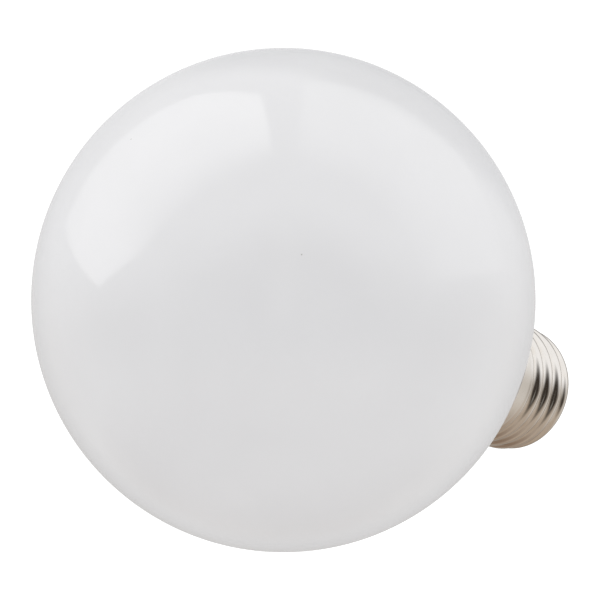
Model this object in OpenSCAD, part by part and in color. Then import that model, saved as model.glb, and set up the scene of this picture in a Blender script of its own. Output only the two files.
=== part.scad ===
// Globe lamp with a screw cap, an LED board, a mains driver and a radio module.
// Millimetres. The centre contact's flat face is at the origin and the lamp's axis is +Z, to the globe.

/* [Globe] */
// Overall length, from the centre contact to the top of the globe
lamp_len = 137.5; // [134:0.5:140]
// Outer diameter of the globe
globe_d = 95; // [94:0.5:96]
// Wall thickness of the globe
globe_wall = 1.2; // [0.8:0.1:1.5]
// Outer diameter of the globe's mouth, where it stands on the housing
mouth_d = 60; // [59.5:0.5:61]

/* [Screw cap] */
// Length of the cap, from the centre contact to the rim of the screw shell
cap_len = 27; // [26:0.5:27.5]
// Diameter over the crests of the thread
thread_d = 26.25; // [26.05:0.05:26.45]
// Depth of the thread, crest to root
thread_depth = 1; // [0.9:0.05:1.05]
// Pitch of the thread, seven turns to the inch
thread_pitch = 3.629; // [3.6:0.001:3.65]
// Height of the lowest crest on the front, the -Y side
crest_z = 6.4; // [5.7:0.1:6.5]
// Outer diameter of the plain skirt above the thread
skirt_d = 25.9; // [25.7:0.1:26.1]
// Thickness of the shell's sheet metal
shell_wall = 0.3; // [0.25:0.05:0.35]
// Diameter of the centre contact's head
contact_d = 9.8; // [9:0.2:10.4]

/* [Housing] */
// Outer diameter of the housing at the rim of the screw shell
neck_d = 27.8; // [27.2:0.2:28.4]
// Radius of the housing's concave side
neck_curve_r = 66; // [60:2:90]
// Wall thickness of the plastic housing
housing_wall = 1.6; // [1.4:0.1:1.6]
// Height of the collar that stands inside the globe's mouth
collar_h = 1.6; // [1.2:0.1:2]
// Wall thickness of the aluminium cup
cup_wall = 1; // [0.8:0.1:1]
// Wall thickness of the insulating sleeve
sleeve_wall = 0.6; // [0.4:0.1:0.6]

/* [LED board] */
// Diameter of the LED board
led_board_d = 51.6; // [51:0.1:51.8]
// Thickness of the LED board
led_board_t = 1; // [0.8:0.1:1.2]
// Places in the outer ring, for white LEDs and screws
ring_places = 27; // [24, 27]
// Radius of the ring of white LEDs
white_ring_r = 22; // [21.8:0.1:22.2]
// Number of colour LEDs
rgb_count = 6; // [4:1:8]
// Radius of the ring of colour LEDs
rgb_ring_r = 14.8; // [14.6:0.1:15]

/* [Driver] */
// Thickness of the driver board
driver_t = 1.2; // [1:0.2:1.2]
// Width of the driver board's tongue, inside the cap
tongue_w = 18; // [17:0.5:18]
// Width of the driver board's head, inside the housing
head_w = 34; // [33:0.5:34]
// Diameter of the mains smoothing capacitor
bulk_d = 10; // [8:0.5:10]
// Length of the mains smoothing capacitor
bulk_len = 15.5; // [12:0.5:15.5]
// Diameter of the output capacitor
output_d = 8; // [6:0.5:8]
// Length of the output capacitor
output_len = 10.5; // [8:0.5:11]

/* [Hidden] */

round_fn = 96;
small_fn = 32;
// Gap between pieces that are fitted or bonded together
fit_gap = 0.05;

globe_r = globe_d / 2;
globe_z = lamp_len - globe_r;
mouth_r = mouth_d / 2;
mouth_z = globe_z - sqrt(pow(globe_r, 2) - pow(mouth_r, 2));
neck_r = neck_d / 2;

// The concave side is one arc through the mouth's edge and the cap's rim; this is the arc's centre
neck_chord = [mouth_r - neck_r, mouth_z - cap_len];
neck_centre = let (
    half = norm(neck_chord) / 2,
    reach = sqrt(pow(neck_curve_r, 2) - pow(half, 2)),
    across = [neck_chord[1], -neck_chord[0]] / norm(neck_chord)
) [neck_r, cap_len] + neck_chord / 2 + across * reach;

// Radii and heights inside the housing
collar_r = mouth_r - 2.4;
bore_r = led_board_d / 2 + 0.3;
ledge_z = cap_len + 3;
spigot_r = thread_d / 2 - thread_depth - shell_wall - 0.12;
spigot_z = 12;
spigot_bore_r = spigot_r - 1.3;
seat_r = skirt_d / 2 - shell_wall - fit_gap;
seat_z = cap_len - 5.2;
cup_inset = housing_wall + fit_gap;
sleeve_inset = cup_inset + cup_wall + fit_gap;
flange_t = 1.6;
pad_t = 0.25;
flange_z = mouth_z - 0.4;
flange_bore_r = 19;
led_board_z = flange_z + pad_t;
led_top_z = led_board_z + led_board_t;

// Driver board: it stands in the XZ plane, a little behind the axis
driver_front = -2.4;
driver_back = driver_front - driver_t;
driver_low = 9.5;
driver_high = flange_z - flange_t - 0.6;
tongue_top = cap_len + 4;
head_low = driver_high - 7.6;
lead_r = 0.3;

// Positions are [x, z] on the driver board
bulk_at = [3.9, 14.2];
bulk_y = driver_front + 0.3 + bulk_d / 2;
bulk_leads = [for (s = [-1, 1]) [bulk_at[0] + s * 2.5, bulk_at[1] - 2]];
output_at = [12, driver_high - 6];
output_leads = [for (s = [-1, 1]) output_at + [0, s * 1.75]];
line_at = [-5.4, 28];
line_size = [5, 8, 6.4];
line_leads = [for (s = [-1, 1]) line_at + [0, s * 2.5]];
safety_at = [9.6, driver_high - 14];
safety_leads = [for (s = [-1, 1]) safety_at + [s * 2, 0]];
varistor_at = [-4.9, 22.2];
varistor_leads = [for (s = [-1, 1]) varistor_at + [s * 2.5, 0]];
fuse_at = [-5.6, 15.8];
fuse_leads = [for (s = [-1, 1]) fuse_at + [0, s * 3.4]];
choke_at = [-12, driver_high - 6.2];
choke_d = 8;
choke_h = 9;
choke_leads = [for (s = [-1, 1]) choke_at + [0, s * 2.5]];
wire_at = [for (s = [-1, 1]) [s * 2.2 - 0.4, 10.9]];

// Transformer: a pair of E cores on a lying bobbin
core_w = 10.2;
core_len = 11;
core_t = 4.8;
core_back = 1.3;
core_leg = 2.4;
bobbin_w = 9.8;
bobbin_foot = 1.6;
trafo_at = [0, driver_high - 12];
trafo_y = driver_front + bobbin_foot + 0.1 + core_w / 2;
trafo_pins = [for (s = [-1, 1]) for (x = [-3.6, -1.2, 1.2, 3.6]) trafo_at + [x, s * 4.4]];

// Radio module: behind the driver board, its antenna standing up through the LED board
radio_w = 12.4;
radio_t = 0.8;
radio_low = driver_high - 14.6;
radio_high = led_top_z + 7;
radio_y = driver_back - 2.4;
radio_pin_at = [for (s = [-1, 1]) for (k = [0:3]) [s * 5.55, radio_low + 2 + 2 * k]];

// LED connector: pins on the front of the driver board, socket on the LED board
pin_pitch = 2;
pin_count = 6;
pin_w = 0.64;
pin_y = driver_front + pin_w / 2;
connector_h = 3.4;

lead_points = concat(
    bulk_leads, output_leads, line_leads, safety_leads, varistor_leads, fuse_leads, choke_leads,
    wire_at, trafo_pins
);

// ---- shared shapes ----

// Half section of the space inside the housing's concave side, moved inwards by inset
module neck_fill(inset, low, high) {
    difference() {
        translate([0, low]) square([mouth_r + 1, high - low]);
        translate(neck_centre) circle(r = neck_curve_r + inset, $fn = 180);
    }
}

// Box centred in x and y, standing on z = 0
module block(size) {
    translate([-size[0] / 2, -size[1] / 2, 0]) cube(size);
}

// Flat plate with round corners, standing on z = 0
module rounded_plate(size, corner) {
    linear_extrude(size[2]) rounded_outline([size[0], size[1]], corner);
}

module rounded_outline(size, corner) {
    union() {
        square([size[0] - 2 * corner, size[1]], center = true);
        square([size[0], size[1] - 2 * corner], center = true);
        for (x = [-1, 1], y = [-1, 1])
            translate([x * (size[0] / 2 - corner), y * (size[1] / 2 - corner)])
                circle(r = corner, $fn = small_fn);
    }
}

// Places what is drawn standing on z = 0 on the front of the driver board
module on_front(at) {
    translate([at[0], driver_front, at[1]]) rotate([-90, 0, 0]) children();
}

// Places what is drawn standing on z = 0 on the back of the driver board
module on_back(at) {
    translate([at[0], driver_back, at[1]]) rotate([90, 0, 0]) children();
}

// Straight leads from height y above the board's front, through the board
module leads(points, y) {
    for (p = points)
        translate([p[0], driver_back - 0.9, p[1]]) rotate([-90, 0, 0])
            cylinder(r = lead_r, h = y - driver_back + 0.9, $fn = small_fn);
}

// Turns a vector about a unit axis
function turned(v, k, a) = v * cos(a) + cross(k, v) * sin(a) + k * (k * v) * (1 - cos(a));

// Points of a smooth route through the given points
function smooth_route(p, steps) = let (n = len(p)) concat(
    [for (i = [0:n - 2], s = [0:steps - 1]) let (
        t = s / steps,
        a = p[max(i - 1, 0)],
        b = p[i],
        c = p[i + 1],
        d = p[min(i + 2, n - 1)]
    ) (2 * b + (c - a) * t + (2 * a - 5 * b + 4 * c - d) * t * t
        + (3 * b - a - 3 * c + d) * t * t * t) / 2],
    [p[n - 1]]
);

function unit(v) = v / norm(v);

function route_direction(p, i) = unit(p[min(i + 1, len(p) - 1)] - p[max(i - 1, 0)]);

// A direction across each point of the route, carried along without twisting
function route_across(p, i = 0, last = [0, 1, 0]) = i == len(p) ? [] : let (
    d = route_direction(p, i),
    a = unit(last - d * (last * d))
) concat([a], route_across(p, i + 1, a));

// Round tube of radius r along a route
module route_tube(p, r, sides = 10) {
    n = len(p);
    across = route_across(p, 0, [0.1, 0.9, 0.2]);
    points = [for (i = [0:n - 1], j = [0:sides - 1])
        p[i] + r * turned(across[i], route_direction(p, i), 360 * j / sides)];
    walls = [for (i = [0:n - 2], j = [0:sides - 1]) let (k = (j + 1) % sides)
        each [[i * sides + j, i * sides + k, (i + 1) * sides + j],
            [i * sides + k, (i + 1) * sides + k, (i + 1) * sides + j]]];
    ends = [[for (j = [sides - 1:-1:0]) j], [for (j = [0:sides - 1]) (n - 1) * sides + j]];
    polyhedron(points, [for (f = concat(walls, ends)) [for (i = [len(f) - 1:-1:0]) f[i]]]);
}

// ---- globe and housing ----

module globe_diffuser() {
    color([0.93, 0.93, 0.94]) rotate_extrude($fn = round_fn) difference() {
        intersection() {
            translate([0, globe_z]) circle(r = globe_r, $fn = 180);
            translate([0, mouth_z]) square([globe_r, lamp_len - mouth_z]);
        }
        translate([0, globe_z]) circle(r = globe_r - globe_wall, $fn = 180);
    }
}

// Silicone bead in the wedge between the collar and the globe's wall
module globe_adhesive() {
    color([0.9, 0.9, 0.9]) rotate_extrude($fn = round_fn) intersection() {
        translate([collar_r + 0.03, mouth_z + 0.03]) square([4, collar_h - 0.4]);
        translate([0, globe_z]) circle(r = globe_r - globe_wall - 0.03, $fn = 180);
    }
}

module housing_section() {
    chamfer = 0.4;
    difference() {
        union() {
            neck_fill(0, cap_len, mouth_z);
            translate([0, mouth_z - 1]) square([collar_r, collar_h + 1]);
            translate([0, seat_z]) square([seat_r, cap_len - seat_z]);
            translate([0, spigot_z]) square([spigot_r, cap_len - spigot_z]);
            polygon([[0, seat_z], [seat_r, seat_z], [spigot_r, seat_z - 0.8], [0, seat_z - 0.8]]);
        }
        // Edge under the globe, eased so that a fine seam shows
        polygon([[mouth_r - chamfer, mouth_z + 1], [mouth_r - chamfer, mouth_z],
            [mouth_r + 0.2, mouth_z - chamfer], [mouth_r + 2, mouth_z + 1]]);
        intersection() {
            neck_fill(housing_wall, ledge_z, mouth_z);
            square([bore_r, mouth_z]);
        }
        translate([0, mouth_z - 0.5]) square([bore_r, collar_h + 2]);
        translate([0, spigot_z - 1]) square([spigot_bore_r, ledge_z]);
    }
}

// Ribs on both sides of the driver board's edges
module board_guides() {
    rib = 0.9;
    linear_extrude(ledge_z - spigot_z - 0.5) intersection() {
        circle(r = spigot_bore_r + 0.3, $fn = round_fn);
        for (s = [-1, 1], y = [driver_front + fit_gap, driver_back - fit_gap - rib])
            translate([s > 0 ? tongue_w / 2 - 0.5 : -tongue_w / 2 - 2.5, y]) square([3, rib]);
    }
}

module housing() {
    color([0.93, 0.93, 0.92]) difference() {
        union() {
            rotate_extrude($fn = round_fn) housing_section();
            translate([0, 0, spigot_z + 0.5]) board_guides();
        }
        // Groove for the neutral conductor
        translate([-spigot_r - 1, -0.45, spigot_z - 1]) cube([1.7, 0.9, seat_z - spigot_z]);
    }
}

module cup_section() {
    difference() {
        intersection() {
            neck_fill(cup_inset, ledge_z + fit_gap, flange_z);
            square([bore_r - fit_gap, flange_z]);
        }
        intersection() {
            neck_fill(cup_inset + cup_wall, ledge_z - 1, flange_z - flange_t);
            square([bore_r - fit_gap - cup_wall, flange_z]);
        }
        square([flange_bore_r, flange_z + 1]);
    }
}

module heat_sink_cup() {
    color([0.78, 0.79, 0.8]) difference() {
        union() {
            rotate_extrude($fn = round_fn) cup_section();
            rotate_extrude($fn = round_fn) difference() {
                intersection() {
                    neck_fill(cup_inset, ledge_z + fit_gap, flange_z - flange_t);
                    square([flange_bore_r + 0.5, flange_z]);
                }
                neck_fill(cup_inset + cup_wall, ledge_z - 1, flange_z);
            }
        }
        screw_places() translate([0, 0, flange_z - flange_t - 1]) cylinder(r = 1.1, h = 4, $fn = small_fn);
    }
}

module insulating_sleeve() {
    color([0.2, 0.2, 0.21]) rotate_extrude($fn = round_fn) difference() {
        intersection() {
            neck_fill(sleeve_inset, ledge_z + fit_gap, flange_z - flange_t - fit_gap);
            square([bore_r - cup_wall - 2 * fit_gap, flange_z]);
        }
        intersection() {
            neck_fill(sleeve_inset + sleeve_wall, ledge_z - 1, flange_z);
            square([bore_r - cup_wall - 2 * fit_gap - sleeve_wall, flange_z]);
        }
    }
}

// ---- LED board ----

module ring_place(i) {
    rotate([0, 0, 360 * i / ring_places]) translate([white_ring_r, 0, 0]) children();
}

module screw_places() {
    for (i = [0:2]) ring_place(i * ring_places / 3) children();
}

module thermal_pad() {
    color([0.55, 0.62, 0.66]) translate([0, 0, flange_z]) linear_extrude(pad_t) difference() {
        circle(r = led_board_d / 2 - 0.4, $fn = round_fn);
        circle(r = flange_bore_r + 0.5, $fn = round_fn);
        screw_places() circle(r = 1.6, $fn = small_fn);
    }
}

module led_board() {
    color([0.94, 0.94, 0.92]) translate([0, 0, led_board_z]) linear_extrude(led_board_t) difference() {
        circle(r = led_board_d / 2, $fn = round_fn);
        screw_places() circle(r = 1.45, $fn = small_fn);
        // Slot for the radio board
        translate([-radio_w / 2 - 0.3, radio_y - radio_t - 0.4]) square([radio_w + 0.6, radio_t + 0.8]);
        for (k = [0:pin_count - 1])
            translate([pin_x(k), pin_y]) circle(r = 0.6, $fn = small_fn);
        // Notches that locate the board
        for (a = [60, 180, 300]) rotate([0, 0, a]) translate([led_board_d / 2, 0])
            circle(r = 0.9, $fn = small_fn);
    }
}

// Flat package with a round well for the phosphor, and two solder terminals
module white_led() {
    difference() {
        block([3.5, 2.8, 0.7]);
        translate([0.15, 0, 0.45]) cylinder(r1 = 1.05, r2 = 1.2, h = 0.3, $fn = small_fn);
    }
    for (s = [-1, 1]) translate([s * 1.85, 0, 0]) block([0.3, 2, 0.2]);
}

// Ring places that hold neither a screw nor an LED of the other white
function white_places(remainder) = [for (i = [0:ring_places - 1])
    if (i % (ring_places / 3) != 0 && i % 2 == remainder) i];

module warm_white_leds() {
    color([0.96, 0.82, 0.4]) translate([0, 0, led_top_z])
        for (i = white_places(0)) ring_place(i) white_led();
}

module cool_white_leds() {
    color([0.95, 0.93, 0.6]) translate([0, 0, led_top_z])
        for (i = white_places(1)) ring_place(i) white_led();
}

// Square package with six terminals and a round well for three dies
module rgb_led() {
    difference() {
        block([5, 5, 1.4]);
        translate([0, 0, 0.9]) cylinder(r1 = 1.7, r2 = 2, h = 0.6, $fn = small_fn);
    }
    for (x = [-1, 1], y = [-1.6, 0, 1.6]) translate([x * 2.7, y, 0]) block([0.5, 0.8, 0.25]);
    for (a = [90, 210, 330]) rotate([0, 0, a]) translate([0.75, 0, 0.9]) block([0.5, 0.5, 0.12]);
}

module rgb_leds() {
    color([0.9, 0.91, 0.92]) translate([0, 0, led_top_z])
        for (i = [0:rgb_count - 1]) rotate([0, 0, 360 * (i + 0.5) / rgb_count])
            translate([rgb_ring_r, 0, 0]) rgb_led();
}

// Pan head with a cross recess
module led_board_screws() {
    shank = 3.4;
    color([0.72, 0.72, 0.74]) translate([0, 0, led_top_z]) screw_places() difference() {
        union() {
            rotate_extrude($fn = small_fn) intersection() {
                translate([0, -1.4]) circle(r = 2.9, $fn = 64);
                square([2.1, 1.5]);
            }
            translate([0, 0, -shank]) cylinder(r = 1.05, h = shank + 0.1, $fn = small_fn);
        }
        for (a = [0, 90]) rotate([0, 0, a]) translate([0, 0, 0.6]) block([2.2, 0.5, 2]);
    }
}

// ---- LED connector ----

function pin_x(k) = (k - (pin_count - 1) / 2) * pin_pitch;

module connector_body() {
    color([0.93, 0.92, 0.88]) translate([0, pin_y, led_top_z]) difference() {
        rounded_plate([pin_count * pin_pitch + 0.8, 3.2, connector_h], 0.3);
        for (k = [0:pin_count - 1]) translate([pin_x(k), 0, -1]) block([0.8, 0.8, connector_h + 2]);
        // Polarising notch
        translate([0, 1.6, 1.2]) block([3, 0.8, connector_h]);
    }
}

module connector_pins() {
    low = driver_high - 4.6;
    color([0.85, 0.72, 0.4]) for (k = [0:pin_count - 1]) translate([pin_x(k), pin_y, low])
        block([pin_w, pin_w, led_top_z + connector_h - 0.4 - low]);
}

// ---- radio module ----

module radio_board() {
    h = radio_high - radio_low;
    color([0.1, 0.16, 0.32]) translate([0, radio_y, radio_low + h / 2]) rotate([90, 0, 0]) difference() {
        rounded_plate([radio_w, h, radio_t], 0.5);
        for (p = radio_pin_at) translate([p[0], p[1] - radio_low - h / 2, -1])
            cylinder(r = 0.45, h = radio_t + 2, $fn = small_fn);
    }
}

module radio_pins() {
    color([0.85, 0.72, 0.4]) for (p = radio_pin_at)
        translate([p[0], radio_y - radio_t - 0.4, p[1]]) rotate([-90, 0, 0])
            cylinder(r = lead_r, h = driver_front - radio_y + radio_t + 0.4, $fn = small_fn);
}

module radio_chip() {
    color([0.15, 0.15, 0.16]) translate([0, radio_y - radio_t, radio_low + 8.4]) rotate([90, 0, 0]) {
        rounded_plate([5, 5, 0.8], 0.2);
    }
}

// Drawn steel can, open towards the radio board
module radio_shield() {
    color([0.75, 0.76, 0.77])
        translate([0, radio_y - radio_t, radio_low + 8.4]) rotate([90, 0, 0]) difference() {
            rounded_plate([9.6, 12.6, 1.9], 0.8);
            translate([0, 0, -1]) rounded_plate([9.2, 12.2, 2.7], 0.6);
            for (x = [-2.4, 2.4], y = [-3.6, 3.6])
                translate([x, y, 0]) cylinder(r = 0.5, h = 3, $fn = small_fn);
        }
}

// Copper track, folded back and forth
module radio_antenna() {
    track = 0.5;
    step = 1.3;
    folds = 4;
    reach = 7.6;
    color([0.8, 0.5, 0.3]) translate([-reach / 2, radio_y - radio_t, radio_high - 6.6]) rotate([90, 0, 0])
        linear_extrude(0.08) union() {
            for (i = [0:folds]) translate([0, i * step]) square([reach, track]);
            for (i = [0:folds - 1])
                translate([i % 2 == 0 ? reach - track : 0, i * step]) square([track, step]);
            translate([0, -1.6]) square([track, 2]);
        }
}

// ---- driver board and its parts ----

module driver_outline() {
    difference() {
        polygon([[-tongue_w / 2, driver_low], [tongue_w / 2, driver_low], [tongue_w / 2, tongue_top],
            [head_w / 2, head_low], [head_w / 2, driver_high], [-head_w / 2, driver_high],
            [-head_w / 2, head_low], [-tongue_w / 2, tongue_top]]);
        for (p = lead_points) translate(p) circle(r = lead_r + 0.12, $fn = small_fn);
        for (p = radio_pin_at) translate(p) circle(r = lead_r + 0.12, $fn = small_fn);
    }
}

module driver_board() {
    color([0.2, 0.42, 0.25]) translate([0, driver_front, 0]) rotate([90, 0, 0])
        linear_extrude(driver_t) driver_outline();
}

// Cone of solder round each lead, on the back of the board
module solder_joints() {
    color([0.72, 0.73, 0.74]) for (p = lead_points) on_back(p) difference() {
        cylinder(r1 = 0.95, r2 = 0.42, h = 0.8, $fn = small_fn);
        translate([0, 0, -1]) cylinder(r = lead_r + 0.01, h = 3, $fn = small_fn);
    }
}

// Upright aluminium can in a printed sleeve: a rolled groove near the foot and a dished top
module capacitor_can(d, h) {
    groove = 0.45;
    rotate_extrude($fn = round_fn) difference() {
        union() {
            translate([0, 0.4]) square([d / 2, h - 0.8]);
            square([d / 2 - 0.4, h]);
            for (y = [0.4, h - 0.4]) translate([d / 2 - 0.4, y]) circle(r = 0.4, $fn = small_fn);
        }
        translate([d / 2 + 0.25, 2]) circle(r = groove + 0.25, $fn = small_fn);
        translate([0, h - 0.3]) square([d / 2 - 0.9, 1]);
        translate([0, -0.7]) square([d / 2 - 0.9, 1]);
    }
}

module bulk_capacitor() {
    color([0.16, 0.17, 0.2]) translate([bulk_at[0], bulk_y, bulk_at[1]]) capacitor_can(bulk_d, bulk_len);
    color([0.16, 0.17, 0.2]) {
        leads(bulk_leads, bulk_y);
        for (p = bulk_leads) translate([p[0], bulk_y, p[1]]) {
            sphere(r = lead_r, $fn = small_fn);
            cylinder(r = lead_r, h = 2.5, $fn = small_fn);
        }
    }
}

module output_capacitor() {
    color([0.13, 0.2, 0.36]) {
        on_front(output_at) translate([0, 0, 0.3]) capacitor_can(output_d, output_len);
        leads(output_leads, driver_front + 0.8);
    }
}

// Moulded box capacitor across the mains
module line_capacitor() {
    color([0.75, 0.62, 0.16]) {
        on_front(line_at) translate([0, 0, 0.2])
            rounded_plate([line_size[0], line_size[2], line_size[1]], 0.3);
        leads(line_leads, driver_front + 0.5);
    }
}

// Dipped disc on two leads, its edge towards the board
module dipped_disc(at, d, t, points) {
    lift = 1;
    translate([at[0], driver_front + lift + d / 2, at[1]]) rotate_extrude($fn = round_fn) union() {
        translate([0, -t / 2]) square([d / 2 - t / 2, t]);
        translate([d / 2 - t / 2, 0]) circle(r = t / 2, $fn = small_fn);
    }
    leads(points, driver_front + lift + d / 2 - 1.2);
}

module surge_varistor() {
    color([0.12, 0.35, 0.62]) dipped_disc(varistor_at, 7, 3, varistor_leads);
}

module safety_capacitor() {
    color([0.2, 0.45, 0.72]) dipped_disc(safety_at, 6, 2.6, safety_leads);
}

// Axial resistor lying along the board, with swollen ends
module fusible_resistor() {
    y = driver_front + 2;
    color([0.3, 0.5, 0.42]) {
        translate([fuse_at[0], y, fuse_at[1]]) {
            translate([0, 0, -2.6]) cylinder(r = 1.1, h = 5.2, $fn = small_fn);
            for (s = [-1, 1]) translate([0, 0, s * 1.8]) sphere(r = 1.35, $fn = small_fn);
            translate([0, 0, -3.4]) cylinder(r = lead_r, h = 6.8, $fn = small_fn);
        }
        for (p = fuse_leads) translate([p[0], y, p[1]]) sphere(r = lead_r, $fn = small_fn);
        leads(fuse_leads, y);
    }
}

// Drum of ferrite, upright on the board
module choke_core() {
    flange = 1.2;
    color([0.22, 0.22, 0.23]) on_front(choke_at) translate([0, 0, 0.5]) rotate_extrude($fn = round_fn) {
        union() {
            square([choke_d / 2, flange]);
            square([2, choke_h]);
            translate([0, choke_h - flange]) square([choke_d / 2, flange]);
        }
    }
}

// Turns of enamelled wire, with two ends led down through the board
module choke_winding() {
    low = 1.25;
    high = choke_h - 1.25;
    turns = 11;
    wire = (high - low) / turns;
    color([0.72, 0.38, 0.2]) {
        on_front(choke_at) translate([0, 0, 0.5]) rotate_extrude($fn = round_fn) union() {
            translate([2.05, low]) square([1.15, high - low]);
            for (i = [0:turns - 1])
                translate([3.2, low + (i + 0.5) * wire]) circle(r = wire / 2, $fn = small_fn);
        }
        translate([choke_at[0], 0, choke_at[1]]) for (s = [-1, 1]) {
            translate([0, driver_front + 0.1, s * 4.3]) rotate([-90, 0, 0])
                cylinder(r = 0.2, h = 3, $fn = small_fn);
            translate([0, driver_front + 3, s * 4.3]) rotate([s > 0 ? 180 : 0, 0, 0])
                cylinder(r = 0.2, h = 1.2, $fn = small_fn);
            translate([0, driver_front + 0.22, s * 2.5]) rotate([s > 0 ? 0 : 180, 0, 0])
                cylinder(r = 0.2, h = 1.9, $fn = small_fn);
        }
        leads(choke_leads, driver_front + 0.35);
    }
}

// ---- transformer: drawn about its own centre, winding axis along z ----

module trafo_place() {
    translate([trafo_at[0], trafo_y, trafo_at[1]]) children();
}

module transformer_core() {
    air_gap = 0.06;
    color([0.2, 0.2, 0.21]) trafo_place() for (s = [0, 1]) mirror([0, 0, s])
        translate([-core_t / 2, 0, air_gap / 2]) difference() {
            translate([0, -core_w / 2, 0]) cube([core_t, core_w, core_len / 2 - air_gap / 2]);
            for (m = [0, 1]) mirror([0, m, 0]) translate([-1, core_leg / 2, -1])
                cube([core_t + 2, core_w / 2 - core_leg / 2 - core_back, core_len / 2 - core_back + 1]);
        }
}

window_h = core_w / 2 - core_leg / 2 - core_back;
window_len = core_len - 2 * core_back;

module transformer_bobbin() {
    tube_wall = 0.5;
    flange = 0.6;
    top = core_leg / 2 + window_h - 0.1;
    foot = core_w / 2 + 0.1 + bobbin_foot;
    color([0.12, 0.12, 0.13]) trafo_place() difference() {
        union() {
            translate([0, 0, -window_len / 2 + 0.1])
                block([core_t + 2 * tube_wall, core_leg + 2 * tube_wall, window_len - 0.2]);
            for (s = [0, 1]) mirror([0, 0, s])
                translate([-bobbin_w / 2, -foot, window_len / 2 - 0.1 - flange])
                    cube([bobbin_w, foot + top, flange]);
            translate([-bobbin_w / 2, -foot, -core_len / 2]) cube([bobbin_w, bobbin_foot, core_len]);
        }
        // Passage for the middle legs
        block_through([core_t + 0.1, core_leg + 0.1]);
        // Passage for the outer legs beside the foot
        translate([0, -core_w / 2 + core_back / 2, 0]) block_through([core_t + 0.1, core_back + 0.1]);
        for (p = trafo_pins) translate([p[0] - trafo_at[0], -foot - 1, p[1] - trafo_at[1]])
            rotate([-90, 0, 0]) cylinder(r = lead_r + 0.01, h = 2.2, $fn = small_fn);
    }
}

// Cutter that runs right through along z
module block_through(size) {
    translate([0, 0, -core_len]) block([size[0], size[1], 2 * core_len]);
}

// Ring of even wall round the winding axis; the inner corner may be nearly square
module winding_ring(inner, outer, h, inner_corner, outer_corner) {
    translate([0, 0, -h / 2]) linear_extrude(h) difference() {
        rounded_outline(outer, outer_corner);
        rounded_outline(inner, inner_corner);
    }
}

winding_outer = [bobbin_w - 0.8, core_leg + 2 * window_h - 0.7];

module transformer_winding() {
    color([0.72, 0.38, 0.2]) trafo_place()
        winding_ring([core_t + 1.2, core_leg + 1.2], winding_outer, window_len - 1.6, 0.1, 1);
}

module transformer_tape() {
    gap = 0.04;
    outer = winding_outer + [0.3, 0.3];
    color([0.9, 0.75, 0.15]) trafo_place()
        winding_ring(winding_outer + [gap, gap], outer, window_len - 1.7, 1 + gap / 2, 1.15);
}

module transformer_pins() {
    color([0.85, 0.72, 0.4]) for (p = trafo_pins) translate([p[0], driver_back - 0.9, p[1]])
        rotate([-90, 0, 0]) cylinder(r = lead_r, h = driver_t + 0.9 + 0.9, $fn = small_fn);
}

// ---- parts soldered on the back of the driver board ----

// Flat moulded package with bent leads along two sides
module flat_package(size, pins, pitch, lead_w) {
    span = size[1] / 2 + 1;
    difference() {
        translate([0, 0, 0.12]) block([size[0], size[1], size[2] - 0.12]);
        translate([-size[0] / 2 + 0.6, -size[1] / 2 + 0.6, size[2] - 0.12])
            cylinder(r = 0.3, h = 1, $fn = small_fn);
    }
    for (i = [0:pins - 1], s = [-1, 1]) translate([(i - (pins - 1) / 2) * pitch - lead_w / 2, 0, 0])
        rotate([90, 0, 90]) linear_extrude(lead_w) scale([s, 1])
            polygon([[size[1] / 2 - 0.1, size[2] * 0.5], [span - 0.6, size[2] * 0.5], [span - 0.45, 0.2],
                [span, 0.2], [span, 0], [span - 0.6, 0], [span - 0.75, size[2] * 0.5 - 0.2],
                [size[1] / 2 - 0.1, size[2] * 0.5 - 0.2]]);
}

module bridge_rectifier() {
    color([0.14, 0.14, 0.15]) on_back([5.4, 20]) flat_package([4.7, 3.9, 2.4], 2, 2.5, 0.7);
}

module controller_chip() {
    color([0.15, 0.15, 0.16]) on_back([4.6, 29.4]) flat_package([4.9, 3.9, 1.6], 4, 1.27, 0.42);
}

module dimming_chip() {
    color([0.15, 0.15, 0.16]) on_back([0, driver_high - 3.1]) flat_package([9.9, 3.9, 1.6], 8, 1.27, 0.42);
}

module voltage_regulator() {
    color([0.15, 0.15, 0.16]) on_back([9.4, driver_high - 10]) flat_package([3.5, 2.4, 1.4], 3, 1.1, 0.4);
}

module output_diode() {
    color([0.16, 0.16, 0.17]) on_back([-9.2, driver_high - 13]) {
        block([4.3, 2.6, 2.1]);
        for (s = [-1, 1]) translate([s * 2.4, 0, 0]) block([0.6, 1.4, 0.5]);
    }
}

// Chip part: a body with metal ends
module chip_part(size) {
    block([size[0] - 0.5, size[1], size[2]]);
    for (s = [-1, 1])
        translate([s * (size[0] / 2 - 0.2), 0, 0]) block([0.4, size[1] + 0.04, size[2] + 0.02]);
}

module chip_resistors() {
    color([0.12, 0.12, 0.13]) {
        for (x = [-2.6, -0.2], z = [15.2, 19])
            on_back([x, z]) rotate([0, 0, 90]) chip_part([3.2, 1.6, 0.55]);
        for (i = [0:2]) on_back([9.4, driver_high - 2.6 - i * 1.7]) chip_part([2, 1.2, 0.5]);
    }
}

module chip_capacitors() {
    color([0.62, 0.5, 0.38]) {
        for (i = [0:2]) on_back([-3.2 + i * 2, 27.5]) rotate([0, 0, 90]) chip_part([2, 1.25, 0.9]);
        for (i = [0:1]) on_back([14.6, driver_high - 4.4 - i * 1.8]) chip_part([2, 1.2, 0.8]);
    }
}

// ---- mains wires ----

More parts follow.
